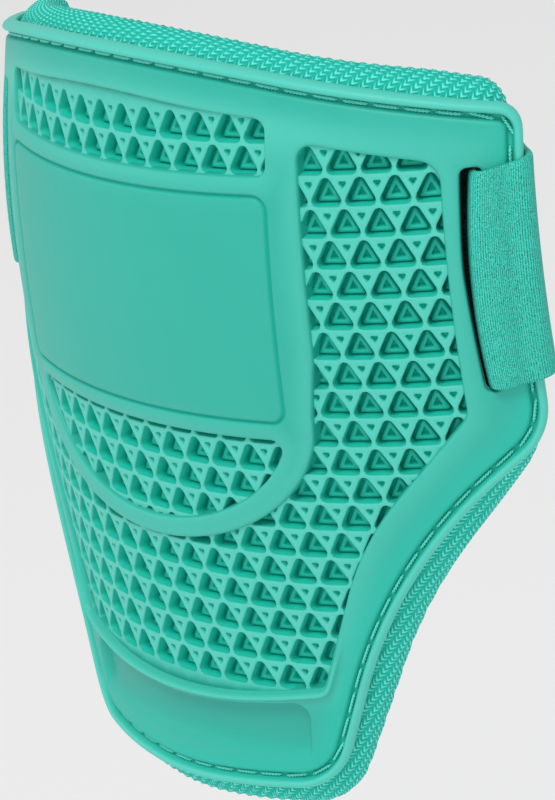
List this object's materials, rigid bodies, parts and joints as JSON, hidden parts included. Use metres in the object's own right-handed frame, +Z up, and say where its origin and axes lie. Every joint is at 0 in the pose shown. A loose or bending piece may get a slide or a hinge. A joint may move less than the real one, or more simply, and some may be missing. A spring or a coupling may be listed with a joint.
{
  "type": "batter's elbow guard",
  "caption": "Curved elbow guard with a moulded triangular lattice shell, a padded fabric backing with a rolled edge, and an elastic strap that loops through a slot in each wing.",
  "frame": {"origin": "middle of the pad's inner face, where it seats on the arm", "axes": "+Z up along the arm, -Y out of the guard's face, +X to the right seen from the front"},
  "size_m": [0.1465, 0.061, 0.1392],
  "materials": {
    "shell": "satin moulded rubber, mint",
    "pad": "coarse diagonal knit over foam, mint",
    "strap": "knitted elastic, mint"
  },
  "bodies": {
    "root": {"shell": "shell", "pad": "pad", "strap": "strap"}
  },
  "joints": []
}
